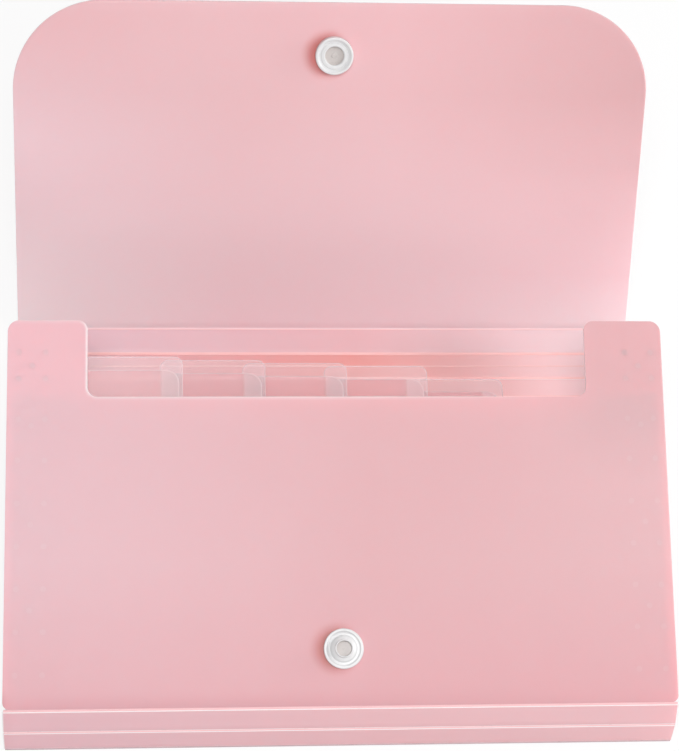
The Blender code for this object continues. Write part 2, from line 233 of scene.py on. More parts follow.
def across_sheet(start, end, first=0.0, last=0.0, counts=(0, 48, 0)):
    """Places across a sheet from one side to the other, even between its two corners. A first corner is fine
    at its start, x = 1 - cos(t), and a last one at its end, x = sin(t), as a quarter circle needs."""
    turns = [np.linspace(0, math.pi / 2, count + 1)[1:] for count in counts]
    shares = (1 - np.cos(turns[0]), turns[1] / (math.pi / 2), np.sin(turns[2]))
    stops = (start, start + first, end - last, end)
    spans = [low + (high - low) * share for low, high, share in zip(stops, stops[1:], shares)]
    return np.concatenate([[start], *spans])


def ruled(across, low, high, rows, closing=False):
    """Points (x, y) on straight lines along the sheet: x is across, y = low + v (high - low). The rows are
    even, or close up towards the high end, v = sin(t)."""
    share = np.linspace(0, 1, rows + 1)
    if closing:
        share = np.sin(share * math.pi / 2)
    low, high = np.broadcast_to(low, across.shape), np.broadcast_to(high, across.shape)
    along = low[:, None] * (1 - share) + high[:, None] * share
    return np.stack((np.repeat(across[:, None], rows + 1, 1), along), -1)


def grid_faces(rows, columns, first=0, wrap=False):
    """Quads of a grid of points, counted row by row. With wrap, the last row joins the first one again."""
    last = rows if wrap else rows - 1
    i, j = np.meshgrid(np.arange(last), np.arange(columns - 1), indexing="ij")
    after = (i + 1) % rows
    quads = np.stack((i * columns + j, after * columns + j, after * columns + j + 1, i * columns + j + 1), -1)
    return quads.reshape(-1, 4) + first


def welded(points, faces):
    """The same mesh with points that share a place made one, and without faces that have shrunk to a line."""
    keys = np.round(points / weld_distance).astype(np.int64)
    _, kept, same = np.unique(keys, axis=0, return_index=True, return_inverse=True)
    rings = [list(dict.fromkeys(face)) for face in same.reshape(-1)[faces].tolist()]
    return points[kept], [ring for sides in (4, 3) for ring in rings if len(ring) == sides]


def laid(x, y, z, place, rise):
    """Points of a sheet turned about X so that +Y rises by the angle, then moved to its place."""
    cosine, sine = math.cos(rise), math.sin(rise)
    return np.stack((x, place[0] + y * cosine - z * sine, place[1] + y * sine + z * cosine), -1)


def make_piece(name, points, faces, finishes, smooth=True):
    """A mesh object of these points and faces, at the origin, with its finishes in order."""
    mesh = bpy.data.meshes.new(name)
    mesh.from_pydata(points.tolist(), [], faces if isinstance(faces, list) else faces.tolist())
    mesh.validate()
    mesh.polygons.foreach_set("use_smooth", np.full(len(mesh.polygons), smooth))
    made = bpy.data.objects.new(name, mesh)
    bpy.context.scene.collection.objects.link(made)
    for finish in finishes:
        mesh.materials.append(finish_named(finish))
    return made


def make_sheet(name, patches, place, rise, top, thickness, finishes, lift=None):
    """A cut sheet from its patches of (x, y) points, with its upper face at the height top. Lift bends it.
    Its two finishes are for its faces and its cut edge."""
    points, faces, count = [], [], 0
    for patch in patches:
        faces.append(grid_faces(patch.shape[0], patch.shape[1], count))
        points.append(patch.reshape(-1, 2))
        count += patch.shape[0] * patch.shape[1]
    flat = np.concatenate(points)
    height = np.full(len(flat), top) + (lift(flat[:, 0], flat[:, 1]) if lift else 0)
    whole, quads = welded(laid(flat[:, 0], flat[:, 1], height, place, rise), np.concatenate(faces))
    made = make_piece(name, whole, quads, finishes)
    shell = made.modifiers.new("Sheet thickness", "SOLIDIFY")
    shell.thickness = thickness
    shell.offset = -1
    shell.use_even_offset = True
    shell.material_offset_rim = 1
    edge = made.modifiers.new("Cut edge", "BEVEL")
    edge.width = thickness * cut_edge_share
    edge.segments = 2
    edge.limit_method = "ANGLE"
    edge.angle_limit = math.radians(60)
    edge.material = 1
    made.data.set_sharp_from_angle(angle=math.radians(30))
    return made


def carried(name, profile, half_length, finishes, crest=0):
    """A closed profile of (y, z) points carried along X from one side to the other, with both ends filled.
    Its faces within so many points of its first point take the second finish."""
    ring = len(profile)
    ends = [np.column_stack((np.full(ring, x), profile)) for x in (-half_length, half_length)]
    first = np.arange(ring)
    after = (first + 1) % ring
    sides = np.stack((after, after + ring, first + ring, first), -1)
    faces = sides.tolist() + [first[::-1].tolist(), (first + ring).tolist()]
    made = make_piece(name, np.concatenate(ends), faces, finishes)
    segment = np.append(first, (ring // 2,) * 2)
    at_crest = (segment < crest) | (segment >= ring - crest)
    made.data.polygons.foreach_set("material_index", at_crest.astype(np.int32))
    made.data.set_sharp_from_angle(angle=math.radians(50))
    return made


def turned(name, profile, place, rise, along, up, steps, finishes, inner=0.0):
    """A profile of (radius, height) turned about the snap's axis, x = r cos(t), y = r sin(t), then laid on
    its sheet. Up is 1 or -1 along the sheet's own Z. Faces within the inner radius take the second finish."""
    angle = np.linspace(0, 2 * math.pi, steps, endpoint=False)
    radius, height = profile[:, 0], profile[:, 1] * up
    x = np.cos(angle)[:, None] * radius
    y = np.sin(angle)[:, None] * radius + along
    z = np.broadcast_to(height, x.shape)
    faces = grid_faces(steps, len(profile), wrap=True)
    if up < 0:
        faces = faces[:, ::-1]
    points, quads = welded(laid(x.ravel(), y.ravel(), z.ravel(), place, rise), faces)
    made = make_piece(name, points, quads, finishes)
    middle = sheet_places(read_points(made.data.polygons, "center"), place, rise) - (0, along)
    recessed = np.linalg.norm(middle, axis=1) < inner
    made.data.polygons.foreach_set("material_index", recessed.astype(np.int32))
    made.data.set_sharp_from_angle(angle=math.radians(35))
    return made


def read_points(items, kind):
    """Points (x, y, z) read from a mesh's vertices or faces."""
    points = np.empty(len(items) * 3)
    items.foreach_get(kind, points)
    return points.reshape(-1, 3)


def sheet_places(points, place, rise):
    """The places (x, y) of points in a sheet's own plane, y measured from its place in the side view."""
    away = points[:, 1:] - place
    return np.stack((points[:, 0], away[:, 0] * math.cos(rise) + away[:, 1] * math.sin(rise)), -1)


def own_places(made, place, rise):
    """The places of a sheet's own points in its plane, as an array of x and one of y."""
    return sheet_places(read_points(made.data.vertices, "co"), place, rise).T


def mark(made, name, values):
    """A number kept on every point of a mesh, for its finish to read."""
    layer = made.data.attributes.new(name, "FLOAT", "POINT")
    layer.data.foreach_set("value", values)


def eased(corners, steps=5):
    """A profile whose corners (radius, height, rounding) become short arcs, as a moulded edge has."""
    points = []
    for index, (radius, height, rounding) in enumerate(corners):
        here = np.array((radius, height))
        if rounding == 0 or index in (0, len(corners) - 1):
            points.append(here)
            continue
        sides = [np.array(corners[index + step][:2]) - here for step in (-1, 1)]
        before, after = (here + side * min(1, rounding / np.linalg.norm(side)) for side in sides)
        share = np.linspace(0, 1, steps + 1)[:, None]
        points.extend((1 - share) ** 2 * before + 2 * share * (1 - share) * here + share**2 * after)
    return np.array(points)


# Finishes

# How much of the floor is plain white to the camera
floor_white_share = 0.85
# Waves to the metre of a frosted sheet's clouds, grain and frost, and of the mottle and grain of other pieces
cloud_waves = 14
sheet_grain_waves = 900
sheet_frost_waves = 2600
mottle_waves = 220
plain_grain_waves = 700
# The middle part of a noise's values, which is spread to the whole range
cloud_span = (0.35, 0.65)
grain_span = (0.3, 0.7)
# How much paler the clouds and the mottle are than the colour under them
cloud_share = 0.035
mottle_share = 0.08


def new_finish(name):
    """A material with its Principled shader and its node tree."""
    made = bpy.data.materials.new(name)
    made.use_nodes = True
    return made, made.node_tree.nodes["Principled BSDF"], made.node_tree


def feed(tree, socket, value):
    """Give a socket its value, or a link from another socket."""
    if isinstance(value, bpy.types.NodeSocket):
        tree.links.new(value, socket)
    else:
        socket.default_value = value


def noise(tree, waves, detail=2.0):
    """Noise on Object coordinates, so many waves to the metre."""
    place, made = tree.nodes.new("ShaderNodeTexCoord"), tree.nodes.new("ShaderNodeTexNoise")
    for socket, value in (("Vector", place.outputs["Object"]), ("Scale", waves), ("Detail", detail)):
        feed(tree, made.inputs[socket], value)
    return made.outputs["Fac"]


def spread(tree, source, low, high, out_low=0.0, out_high=1.0):
    """A value moved from one range to another and held inside it."""
    made = tree.nodes.new("ShaderNodeMapRange")
    names = ("Value", "From Min", "From Max", "To Min", "To Max")
    for socket, value in zip(names, (source, low, high, out_low, out_high)):
        feed(tree, made.inputs[socket], value)
    return made.outputs["Result"]


def blended(tree, share, first, second):
    """Two colours, or a colour socket and a colour, mixed by a share."""
    made = tree.nodes.new("ShaderNodeMix")
    made.data_type = "RGBA"
    feed(tree, made.inputs["Factor"], share)
    for socket, value in ((made.inputs[6], first), (made.inputs[7], second)):
        feed(tree, socket, value if isinstance(value, bpy.types.NodeSocket) else (*value, 1))
    return made.outputs[2]


def combined(tree, operation, *values):
    """A maths node on sockets, with plain numbers where it needs them."""
    made = tree.nodes.new("ShaderNodeMath")
    made.operation = operation
    for value, socket in zip(values, made.inputs):
        feed(tree, socket, value)
    return made.outputs[0]


def mixed(tree, share, first, second, output):
    """Two shaders mixed by a share, as the whole surface of a material or of the world."""
    mix = tree.nodes.new("ShaderNodeMixShader")
    for value, socket in zip((share, first, second), mix.inputs):
        feed(tree, socket, value)
    feed(tree, output.inputs["Surface"], mix.outputs[0])


def grained(tree, shader, waves, roughness, sway):
    """A roughness that strays from its middle value by so much either way."""
    grain = spread(tree, noise(tree, waves), *grain_span, roughness - sway, roughness + sway)
    feed(tree, shader.inputs["Roughness"], grain)


def frost(tree, shader, waves, strength_of, depth=0.02 * mm):
    """The fine grain of a frosted sheet, as a bump."""
    bump = tree.nodes.new("ShaderNodeBump")
    height = noise(tree, waves, 3.0)
    for socket, value in (("Strength", strength_of), ("Distance", depth), ("Height", height)):
        feed(tree, bump.inputs[socket], value)
    feed(tree, shader.inputs["Normal"], bump.outputs["Normal"])


def lighter(colour_value, share):
    return tuple(value + (1 - value) * share for value in colour_value)


def attribute(tree, name):
    """A number kept on the mesh's points."""
    made = tree.nodes.new("ShaderNodeAttribute")
    made.attribute_name = name
    return made.outputs["Fac"]


def tinted(tree, place, body, tint, across=None, along=None):
    """A body colour turned to a tint from one place to another across the wallet (X), along it (Y), or both,
    as the product of the two shares."""
    spans = (("X", across), ("Y", along))
    shares = [spread(tree, place.outputs[axis], *span) for axis, span in spans if span]
    share = combined(tree, "MULTIPLY", *shares) if len(shares) > 1 else shares[0]
    return blended(tree, share, body, tint)


def shadowed(tree, place, body, middle, tint):
    """A body colour turned softly to a tint round a middle point: the snap's painted shadow."""
    away = tree.nodes.new("ShaderNodeVectorMath")
    away.operation = "DISTANCE"
    feed(tree, away.inputs[0], place.outputs["Object"])
    feed(tree, away.inputs[1], tuple(middle))
    share = spread(tree, away.outputs["Value"], shadow_reach, shadow_core)
    share.node.interpolation_type = "SMOOTHSTEP"
    return blended(tree, share, body, tint)


def sheet_finish(name, body_colour, tints, roughness=0.42, marks=(), press=None):
    """Frosted sheet: broad soft clouds, tints over parts of the wallet that paint in light and shade, a satin
    gloss and a fine grain. Each mark is an attribute's name and the colour that the sheet takes where it is
    1. Press is the middle of the snap's painted shadow on the sheet and its colour."""
    made, shader, tree = new_finish(name)
    clouds = spread(tree, noise(tree, cloud_waves), *cloud_span)
    body = blended(tree, clouds, body_colour, lighter(body_colour, cloud_share))
    place, axes = tree.nodes.new("ShaderNodeTexCoord"), tree.nodes.new("ShaderNodeSeparateXYZ")
    feed(tree, axes.inputs["Vector"], place.outputs["Object"])
    for tint in tints:
        body = tinted(tree, axes, body, *tint)
    # The snap's painted shadow
    if press:
        body = shadowed(tree, place, body, *press)
    for mark_name, mark_colour in marks:
        body = blended(tree, attribute(tree, mark_name), body, mark_colour)
    for socket, value in (
        ("Base Color", body),
        ("Specular IOR Level", 0.35),
        ("Subsurface Weight", 0.5),
        ("Subsurface Radius", (1.0, 0.6, 0.6)),
        ("Subsurface Scale", 2 * mm),
    ):
        feed(tree, shader.inputs[socket], value)
    grained(tree, shader, sheet_grain_waves, roughness, 0.03)
    frost(tree, shader, sheet_frost_waves, 0.12)
    return made


def plain_finish(name, body_colour, roughness, frost_waves=1500, strength_of=0.08, specular=0.4):
    """A moulded or cut surface with a faint mottle and a fine grain."""
    made, shader, tree = new_finish(name)
    mottle = spread(tree, noise(tree, mottle_waves), *grain_span)
    body = blended(tree, mottle, body_colour, lighter(body_colour, mottle_share))
    feed(tree, shader.inputs["Base Color"], body)
    feed(tree, shader.inputs["Specular IOR Level"], specular)
    grained(tree, shader, plain_grain_waves, roughness, 0.04)
    frost(tree, shader, frost_waves, strength_of)
    return made


def film_finish(name, body_colour, rim_colour, roughness, alpha, rim_alpha):
    """Thin clear film: pale, glossy and mostly see-through, denser along its cut edges and whiter there as a
    painted highlight.
    """
    made = plain_finish(name, lighter(body_colour, 0.3), roughness, 1200, 0.04, 0.5)
    tree = made.node_tree
    shader, rim = tree.nodes["Principled BSDF"], attribute(tree, "rim")
    body = shader.inputs["Base Color"].links[0].from_socket
    feed(tree, shader.inputs["Base Color"], blended(tree, rim, body, rim_colour))
    feed(tree, shader.inputs["Alpha"], spread(tree, rim, 0, 1, alpha, rim_alpha))
    made.surface_render_method = "BLENDED"
    return made


def divider_finish(name, body_colour, tints, ledge_colour, doubled_colour, rim_colour, alpha):
    """Thinner frosted sheet, which lets the next tab show through where its clear attribute is 1, and is
    milkier where two ledges overlap, partly the films' own milkiness and partly painted light. Its ledge is
    painted brighter, and its rim whiter as a painted highlight."""
    marks = (("clear", ledge_colour), ("doubled", doubled_colour), ("rim", rim_colour))
    made = sheet_finish(name, body_colour, tints, 0.38, marks)
    tree = made.node_tree
    opacity = spread(tree, attribute(tree, "clear"), 0, 1, 1, alpha)
    feed(tree, tree.nodes["Principled BSDF"].inputs["Alpha"], opacity)
    made.surface_render_method = "BLENDED"
    return made


def pleat_finish(name, body_colour):
    """Thin pale film that lets about a third of the light behind it through."""
    made = plain_finish(name, body_colour, 0.35)
    shader = made.node_tree.nodes["Principled BSDF"]
    shader.inputs["Transmission Weight"].default_value = 0.35
    shader.inputs["IOR"].default_value = 1.2
    return made


def floor_finish(name, body_colour):
    """Pale floor that takes the wallet's shadow, most of it whitened where the camera looks at the floor."""
    made = plain_finish(name, body_colour, 0.7, 300, 0.0, 0.1)
    tree = made.node_tree
    nodes, path = tree.nodes, tree.nodes.new("ShaderNodeLightPath").outputs
    seen = combined(tree, "MAXIMUM", path["Is Camera Ray"], path["Is Transmission Ray"])
    share = combined(tree, "MULTIPLY", seen, floor_white_share)
    lit, white = nodes["Principled BSDF"].outputs[0], nodes.new("ShaderNodeEmission").outputs[0]
    mixed(tree, share, lit, white, nodes["Material Output"])
    return made


def finish_named(name):
    """The wallet's finishes, made once and then shared. A tint is a colour with the span over which it grows
    across the wallet and the one along it, both from where it starts to where it is full. The tints paint in
    light and shade."""
    if name in bpy.data.materials:
        return bpy.data.materials[name]
    scene = bpy.context.scene
    colours, sheets, snap = scene.wallet_colours, scene.wallet_sheets, scene.wallet_snap
    half = sheets.width / 2
    to_left, to_right = (half * 0.1, -half), (half * 0.1, half)
    flap_left, flap_right = (-half * 0.3, -half), (half * 0.2, half)
    foot, mid_flap, high_flap = flap_crease[0], flap_crease[0] + 30 * mm, flap_crease[0] + 50 * mm
    # The flap's tints are painted light and shade, also on its cut edge; the soft crease takes the painted
    # pale foot colour
    flap_tints = (
        (colours.flap_left, flap_left, (high_flap + 14 * mm, high_flap - 10 * mm)),
        (colours.flap_right, flap_right, (mid_flap - 15 * mm, mid_flap + 5 * mm)),
        (colours.flap_foot, None, (high_flap, foot)),
        (lighter(colours.flap_foot, 0.33), flap_left, (mid_flap, foot)),
        (lighter(colours.flap_foot, 0.22), flap_right, (mid_flap - 18 * mm, foot)),
    )
    # The front panel's tints are painted light and shade: paler at its sides, darker and redder towards its
    # crease, deeper on its right ear
    front_tints = (
        (colours.cover_side, to_left),
        (lighter(colours.cover_front, 0.08), to_right),
        (colours.front_foot, None, (-10 * mm, -75 * mm)),
        (colours.front_ear, (half * 0.6, half * 0.8), (10 * mm, 40 * mm)),
    )
    # The weld dots take the front panel's painted tints, a little paler
    dot_tints = tuple((lighter(tint, 0.05), *spans) for tint, *spans in front_tints)
    # Painted light: the cover turns paler towards both sides
    cover_tints = ((colours.cover_side, to_left), (lighter(colours.cover, 0.06), to_right))
    # Painted light: the spine is paler at both sides, over a colour paler than the cover's
    spine_tints = ((colours.spine_left, to_left), (colours.spine_right, to_right))
    # Painted shade in the fold, paler towards the right as painted light and cooler at the left
    inside_tints = ((colours.cover_side, to_left), (colours.inside_right, to_right))
    # Painted light: the dividers turn paler towards their left side
    divider_tints = ((lighter(colours.divider, 0.14), to_left),)
    # Middles of the snaps' painted shadows on the flap and the front, shifted to the left
    flap_shadow = laid(-shadow_shift, snap.flap_place, 0.0, flap_crease, sheets.flap_rise)
    front_shadow = laid(
        -shadow_shift, fan_reach(sheets.front_start + snap.front_place),
        sheets.front_height + sheets.thickness - fan_axis[1], fan_axis, swing["front"],
    )
    rim_marks = (("rim", colours.cover_edge),)
    # The ledge colour is painted light, the overlap partly painted light, and the rim a painted highlight
    ledge_colours = (colours.ledge, lighter(colours.ledge, 0.35), lighter(colours.ledge, 0.55))
    satin, ledge_alpha, film_alphas, snap_frost = 0.42, 0.32, (0.13, 0.4), (900, 0.03)
    shadow_on_flap, shadow_on_front = ((place, colours.shadowed) for place in (flap_shadow, front_shadow))
    made_by, *details = {
        "frosted_cover": (sheet_finish, colours.cover, cover_tints),
        "frosted_spine": (sheet_finish, lighter(colours.cover, 0.03), spine_tints),
        "frosted_flap": (sheet_finish, colours.cover_flap, flap_tints, satin, (), shadow_on_flap),
        "frosted_front": (sheet_finish, colours.cover_front, front_tints, satin, rim_marks, shadow_on_front),
        "frosted_inside": (sheet_finish, colours.cover_inside, inside_tints),
        "cover_cut_edge": (plain_finish, colours.cover_edge, 0.3),
        "flap_cut_edge": (sheet_finish, lighter(colours.cover_flap, 0.1), flap_tints, 0.4),
        "whitened_crease": (plain_finish, colours.crease, 0.32),
        "soft_crease": (plain_finish, lighter(colours.flap_foot, 0.1), satin),
        "shaded_crease": (plain_finish, colours.crease_shaded, satin),
        "whitened_inside": (plain_finish, colours.crease_inside, 0.32),
        "frosted_divider": (divider_finish, colours.divider, divider_tints, *ledge_colours, ledge_alpha),
        "divider_cut_edge": (plain_finish, lighter(colours.divider, 0.35), 0.3),
        "clear_tab": (film_finish, colours.tab, colours.tab_rim, 0.16, *film_alphas),
        "pleated_film": (pleat_finish, colours.pleat),
        "white_snap": (plain_finish, colours.snap, 0.22, *snap_frost, 0.5),
        "snap_recess": (plain_finish, colours.snap_recess, 0.3, *snap_frost, 0.4),
        "weld_dot": (sheet_finish, lighter(colours.cover_front, 0.05), dot_tints, 0.4),
        "pale_floor": (floor_finish, colours.floor),
    }[name]
    return made_by(name, *details)


def settle(made, body, node=None):
    """Let a piece ride on its body and in place of its solid where it has one."""
    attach(made, body)
    if node:
        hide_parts(node)


def rise_between(start, end):
    """How steeply a strip stands between two creases in the side view."""
    return math.atan2(*(end - start)[::-1])


def front_panel_crease(sizes):
    """The crease under the front panel, where its closed place has swung open about the fan's line."""
    away = np.array((bottom_crease[0] + sizes.front_start, sizes.front_height)) - fan_axis
    cosine, sine = math.cos(swing["front"]), math.sin(swing["front"])
    return fan_axis + np.array((away[0] * cosine - away[1] * sine, away[0] * sine + away[1] * cosine))


class WALLET_OT_cover(Operator):
    """Make the seven panels and strips of the cover"""

    bl_idname = "wallet.cover"
    bl_label = "Cover Panels"

    def execute(self, context):
        sizes = context.scene.wallet_sheets
        gap, sheet = sizes.crease_gap, sizes.thickness
        half = sizes.width / 2
        narrow = half - sizes.flap_inset
        front_crease = front_panel_crease(sizes)
        plain = ("frosted_cover", "cover_cut_edge")
        # Each strip's name, body, node, half width, creases, rise, upper face, rows of points and finishes
        for name, body, node, reach, start, end, rise, top, rows, finishes in (
            (
                "cover_back", "back", "back_panel", half, bottom_crease, spine_crease,
                0.0, 0.0, 24, ("frosted_inside", "cover_cut_edge"),
            ),
            (
                "cover_bottom_lower", "bottom_lower", "bottom_strip_lower", half, bottom_crease, bottom_knee,
                rise_between(bottom_crease, bottom_knee), sheet, 4, plain,
            ),
            (
                "cover_bottom_upper", "bottom_upper", "bottom_strip_upper", half, bottom_knee, front_crease,
                rise_between(bottom_knee, front_crease), sheet, 4, plain,
            ),
            (
                "cover_spine_lower", "spine_lower", "spine_strip_lower", narrow, spine_crease, spine_middle,
                0.0, 0.0, 4, ("frosted_inside", "whitened_inside"),
            ),
            (
                "cover_spine_upper", "spine_upper", "spine_strip_upper", narrow, spine_middle, flap_crease,
                sizes.spine_rise, 0.0, 4, ("frosted_spine", "whitened_inside"),
            ),
        ):
            patch = ruled(across_sheet(-reach, reach), gap, math.dist(start, end) - gap, rows)
            settle(make_sheet(name, [patch], start, rise, top, sheet, finishes), body, node)
        settle(self.flap(sizes), "flap", "flap")
        settle(self.front(sizes), "front", "front_panel")
        return {"FINISHED"}

    def flap(self, sizes):
        """The flap, whose free corners are quarter circles, curled up a little at both sides."""
        half, radius, run = sizes.width / 2 - sizes.flap_inset, sizes.flap_corner, sizes.flap_length
        across = across_sheet(-half, half, radius, radius, counts=(28, 36, 28))
        high = run - corner_drop(half - np.abs(across), radius)
        return make_sheet(
            "cover_flap", [ruled(across, sizes.crease_gap, high, rows=40)], flap_crease, sizes.flap_rise, 0.0,
            sizes.thickness, ("frosted_flap", "flap_cut_edge"),
            lambda x, y: sizes.bow * (x / half) ** 2 * (y / run),
        )

    def front(self, sizes):
        """The front panel: two ears beside a finger notch. Each ear and the middle are patches that share the
        lines down from the notch's inner walls."""
        half, wall, gap = sizes.width / 2, sizes.width / 2 - sizes.ear_width, sizes.crease_gap
        foot, outer, inner, floor_corner = 2 * mm, 3.2 * mm, 2.8 * mm, 2.9 * mm
        first = fan_reach(sizes.front_start + gap)
        last = fan_reach(sizes.front_start + sizes.front_length)
        floor = last - sizes.notch_depth
        seam = floor + floor_corner
        patches = []
        for side in (-1, 1):
            across = across_sheet(wall, half, inner, outer, counts=(8, 8, 10))
            low = first + corner_drop(half - across, foot)
            top = last - corner_drop(half - across, outer) - corner_drop(across - wall, inner)
            ear = [
                ruled(across, low, seam, rows=30, closing=True),
                ruled(across, seam, top, rows=14, closing=True),
            ]
            patches += ear if side > 0 else [(patch * (-1, 1))[::-1] for patch in ear]
        across = across_sheet(-wall, wall, floor_corner, floor_corner, counts=(8, 48, 8))
        notch = floor + corner_drop(wall - np.abs(across), floor_corner)
        patches.append(ruled(across, first, notch, rows=30, closing=True))
        top_face = sizes.front_height - fan_axis[1] + sizes.thickness
        made = make_sheet(
            "cover_front", patches, fan_axis, swing["front"], top_face, sizes.thickness,
            ("frosted_front", "cover_cut_edge"), lambda x, y: front_bow(sizes, x, y),
        )
        x, y = own_places(made, fan_axis, swing["front"])
        mark(made, "rim", self.edge_glow(x, y, wall, floor, last, inner, floor_corner))
        return made

    def edge_glow(self, x, y, wall, floor, last, inner, floor_corner):
        """Light that gathers in the cut edges on the lit side: 1 on the left ear's inner edge, less on its
        top and on the notch's floor, falling to 0 a glow's width inside the sheet. Each edge counts by the
        square of its normal's part along X and Y."""
        glow_width, top_glow, floor_glow = 0.8 * mm, 0.3, 0.55
        fade_end, fade_run, least = wall * 0.9, wall * 0.8, mm**4
        ear = np.maximum(np.stack((inner + wall + x, inner - last + y)), 0)
        on_ear = np.clip(1 - from_corner(-wall - x, last - y, inner) / glow_width, 0, 1) * (x <= -wall)
        notch = np.minimum(np.stack((x + wall - floor_corner, y - floor - floor_corner)), 0)
        on_notch = np.clip(1 - (np.linalg.norm(notch, axis=0) - floor_corner) / glow_width, 0, 1)
        fade = floor_glow * np.clip((fade_end - x) / fade_run, 0, 1)
        shares = [part**2 / np.maximum(np.sum(part**2, axis=0), least) for part in (ear, notch)]
        high = on_ear * (shares[0][0] + top_glow * shares[0][1])
        low = on_notch * (shares[1][0] + fade * shares[1][1])
        return np.where(y > (floor + last) / 2, high, low)


def fan_reach(closed_place):
    """How far a closed place along the back panel lies from the line that the pockets fan about."""
    return bottom_crease[0] - fan_axis[0] + closed_place


def front_bow(sizes, x, y):
    """How far the front panel drops at its sides, -b (x / half)^2 v, with v from 0 at its crease to 1."""
    first = fan_reach(sizes.front_start + sizes.crease_gap)
    last = fan_reach(sizes.front_start + sizes.front_length)
    return -sizes.bow * (x / (sizes.width / 2)) ** 2 * (y - first) / (last - first)


class WALLET_OT_creases(Operator):
    """Make the living hinges between the panels, and the lines scored beside the spine"""

    bl_idname = "wallet.creases"
    bl_label = "Creases"

    def execute(self, context):
        sizes = context.scene.wallet_sheets
        half = sizes.width / 2 - sizes.flap_inset
        front_crease = front_panel_crease(sizes)
        lower, upper = rise_between(bottom_crease, bottom_knee), rise_between(bottom_knee, front_crease)
        spine, flap, down = sizes.spine_rise, sizes.flap_rise, -math.pi / 2
        slim, full = 0.2 * mm, 0.28 * mm
        # Each crease's name, body, place, outward angle, inner radius and finishes
        for name, body, place, outward, inner, *finishes in (
            (
                "crease_back_bottom", "back", bottom_crease, lower / 2 + math.pi, full,
                "shaded_crease", "shaded_crease",
            ),
            (
                "crease_bottom_middle", "bottom_lower", bottom_knee, (lower + upper) / 2 - down, slim,
                "frosted_cover", "whitened_crease",
            ),
            (
                "crease_front", "bottom_upper", front_crease, (upper + swing["front"]) / 2 - down, slim,
                "frosted_cover", "whitened_crease",
            ),
            ("crease_back_spine", "back", spine_crease, down, slim, "whitened_inside", "whitened_inside"),
            (
                "crease_spine_middle", "spine_lower", spine_middle, spine / 2 + down, slim,
                "whitened_inside", "whitened_inside",
            ),
            (
                "crease_flap", "spine_upper", flap_crease, (spine + flap) / 2 + down, full,
                "soft_crease", "soft_crease",
            ),
        ):
            profile = self.bead(place, outward, sizes.thickness, inner)
            settle(carried(name, profile, half, finishes, crest=3), body)
        score_outer, score_inner = 0.3 * mm, 0.17 * mm
        scores = (("score_spine", "spine_lower", 4.1 * mm), ("score_back", "back", 14 * mm))
        for name, body, from_middle in scores:
            place = np.array((spine_middle[0] - from_middle, spine_middle[1]))
            profile = self.bead(place, down, score_outer, score_inner)
            settle(carried(name, profile, half, ("whitened_inside",)), body)
        return {"FINISHED"}

    def bead(self, place, outward, outer, inner):
        """Side view of a hinge: r = inner + (outer - inner) cos(t) outside, about the outward angle, and a
        flat low rib inside."""
        turn = np.linspace(0, 2 * math.pi, 28, endpoint=False)
        radius = inner + (outer * bead_outer_share - inner) * np.clip(np.cos(turn), 0, 1)
        out, side = radius * np.cos(turn), radius * np.sin(turn)
        out = np.where(out < 0, out * bead_inner_share, out)
        cosine, sine = math.cos(outward), math.sin(outward)
        return place + np.stack((out * cosine - side * sine, out * sine + side * cosine), -1)


